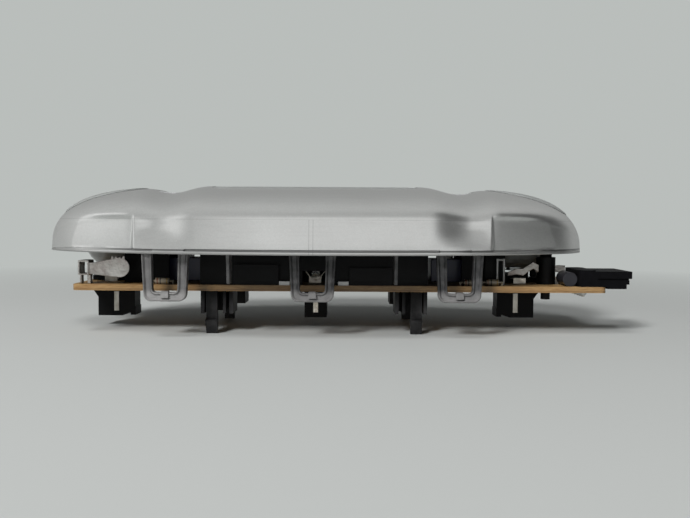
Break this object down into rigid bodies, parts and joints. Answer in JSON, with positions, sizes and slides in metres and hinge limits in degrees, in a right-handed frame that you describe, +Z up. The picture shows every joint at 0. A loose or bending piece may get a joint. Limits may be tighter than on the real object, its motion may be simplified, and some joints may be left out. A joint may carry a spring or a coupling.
{
  "type": "car interior light",
  "caption": "Car ceiling light with a satin silver cover, dome and reading lenses, push buttons, circuit board and twist-in bulb holders.",
  "frame": {"origin": "centre of the cover's rim, in the plane of the rim's underside", "axes": "+X along the long side towards the connector, -Y the front that the picture shows, +Z up out of the dome"},
  "size_m": [0.1589, 0.075, 0.0398],
  "materials": {
    "silver_plastic": "satin",
    "frosted_lens": "gloss",
    "black_plastic": "satin",
    "reflector_plastic": "gloss",
    "board": "matte",
    "tinned_metal": "satin",
    "spring_steel": "brushed",
    "bulb_glass": "gloss",
    "blue_plastic": "gloss",
    "white_plastic": "matte",
    "component": "gloss",
    "solder": "satin"
  },
  "bodies": {
    "unit": {"bezel": "silver_plastic", "centre_lens": "frosted_lens", "left_reading_lens": "frosted_lens", "right_reading_lens": "frosted_lens", "housing": "black_plastic", "centre_reflector": "reflector_plastic", "left_reflector": "reflector_plastic", "right_reflector": "reflector_plastic", "circuit_board": "board", "left_switch_body": "blue_plastic", "right_switch_body": "blue_plastic", "left_spring_clip": "spring_steel", "right_spring_clip": "spring_steel", "connector_housing": "black_plastic", "connector_pins": "tinned_metal", "solder_joints": "solder", "resistors": "component", "diodes": "component", "capacitor": "black_plastic", "jumper_wires": "tinned_metal"},
    "left_button": {"left_push_button": "silver_plastic", "left_switch_plunger": "white_plastic"},
    "right_button": {"right_push_button": "silver_plastic", "right_switch_plunger": "white_plastic"},
    "left_lamp": {"left_bulb_holder": "black_plastic", "left_holder_contacts": "tinned_metal", "left_bulb": "bulb_glass"},
    "centre_lamp": {"centre_bulb_holder": "black_plastic", "centre_holder_contacts": "tinned_metal", "centre_bulb": "bulb_glass"},
    "right_lamp": {"right_bulb_holder": "black_plastic", "right_holder_contacts": "tinned_metal", "right_bulb": "bulb_glass"}
  },
  "joints": [
    {"name": "left_button_press", "type": "slide", "parent": "unit", "child": "left_button", "axis": [0, 0, -1], "range_m": [0, 0.0015], "stiffness_N_per_m": 400, "springref_m": -0.0002},
    {"name": "right_button_press", "type": "slide", "parent": "unit", "child": "right_button", "axis": [0, 0, -1], "range_m": [0, 0.0015], "stiffness_N_per_m": 400, "springref_m": -0.0002},
    {"name": "left_lamp_twist", "type": "hinge", "parent": "unit", "child": "left_lamp", "pos_m": [-0.0567, 0, 0], "axis": [0, 0, 1], "range_deg": [0, 60]},
    {"name": "centre_lamp_twist", "type": "hinge", "parent": "unit", "child": "centre_lamp", "pos_m": [0, 0, 0], "axis": [0, 0, 1], "range_deg": [0, 60]},
    {"name": "right_lamp_twist", "type": "hinge", "parent": "unit", "child": "right_lamp", "pos_m": [0.0567, 0, 0], "axis": [0, 0, 1], "range_deg": [0, 60]}
  ]
}
